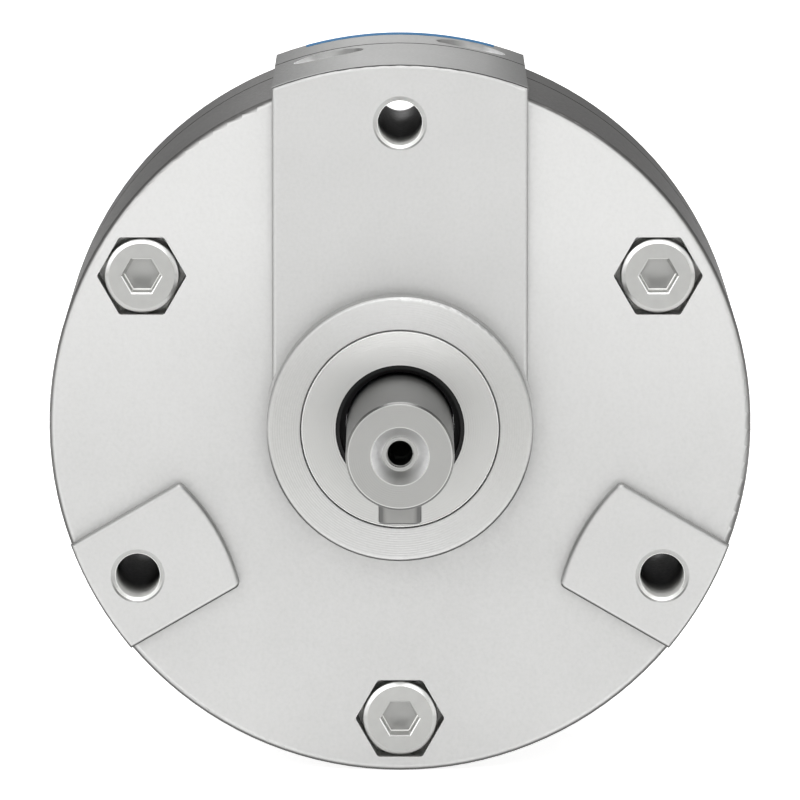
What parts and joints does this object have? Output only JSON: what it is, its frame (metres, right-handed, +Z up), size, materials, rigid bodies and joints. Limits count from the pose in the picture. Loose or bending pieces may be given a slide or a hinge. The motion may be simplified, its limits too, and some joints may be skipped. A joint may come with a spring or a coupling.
{
  "type": "pneumatic rotary actuator",
  "caption": "Round single-vane pneumatic rotary actuator with a keyed output shaft, centring boss, raised mounting pads and threaded air ports on top.",
  "frame": {"origin": "on the shaft axis, in the plane of the three front mounting pads", "axes": "-Y along the output shaft, +Z up towards the air ports, +X to the right seen from the shaft end"},
  "size_m": [0.066, 0.0664, 0.067],
  "materials": {
    "cast_aluminium": "fine satin casting",
    "turned_aluminium": "turned, satin",
    "ground_steel": "ground",
    "plated_steel": "zinc plated, satin",
    "bearing_steel": "polished",
    "black_rubber": "satin",
    "black_plastic": "matt",
    "seal_plastic": "satin"
  },
  "bodies": {
    "housing": {"front_housing": "cast_aluminium", "rear_housing": "cast_aluminium", "front_cap_ring": "turned_aluminium", "front_shaft_seal": "black_rubber", "rear_shaft_seal": "black_rubber", "front_bearing_outer_race": "bearing_steel", "rear_bearing_outer_race": "bearing_steel", "front_hub_seal": "seal_plastic", "rear_hub_seal": "seal_plastic", "housing_seal": "black_rubber", "locating_pins": "ground_steel", "housing_screws": "plated_steel", "housing_nuts": "plated_steel", "stator": "turned_aluminium", "stator_seal": "seal_plastic", "stator_pins": "ground_steel", "end_cushions": "black_rubber"},
    "rotor": {"drive_shaft": "ground_steel", "feather_key": "ground_steel", "rotary_vane": "turned_aluminium", "vane_seal": "seal_plastic", "vane_pins": "ground_steel", "front_bearing_inner_race": "bearing_steel", "rear_bearing_inner_race": "bearing_steel"},
    "front_ball_set": {"front_bearing_balls": "bearing_steel", "front_bearing_cage": "black_plastic"},
    "rear_ball_set": {"rear_bearing_balls": "bearing_steel", "rear_bearing_cage": "black_plastic"}
  },
  "joints": [
    {"name": "shaft_swivel", "type": "hinge", "parent": "housing", "child": "rotor", "pos_m": [0, 0, 0], "axis": [0, -1, 0], "range_deg": [-135, 135]},
    {"name": "front_balls_roll", "type": "hinge", "parent": "housing", "child": "front_ball_set", "pos_m": [0, 0.0072, 0], "axis": [0, -1, 0], "range_deg": [-56.34, 56.34]},
    {"name": "rear_balls_roll", "type": "hinge", "parent": "housing", "child": "rear_ball_set", "pos_m": [0, 0.0354, 0], "axis": [0, -1, 0], "range_deg": [-56.34, 56.34]}
  ],
  "couplings": [
    {"joint": "front_balls_roll", "follows": "shaft_swivel", "ratio": 0.4172},
    {"joint": "rear_balls_roll", "follows": "shaft_swivel", "ratio": 0.4172}
  ]
}
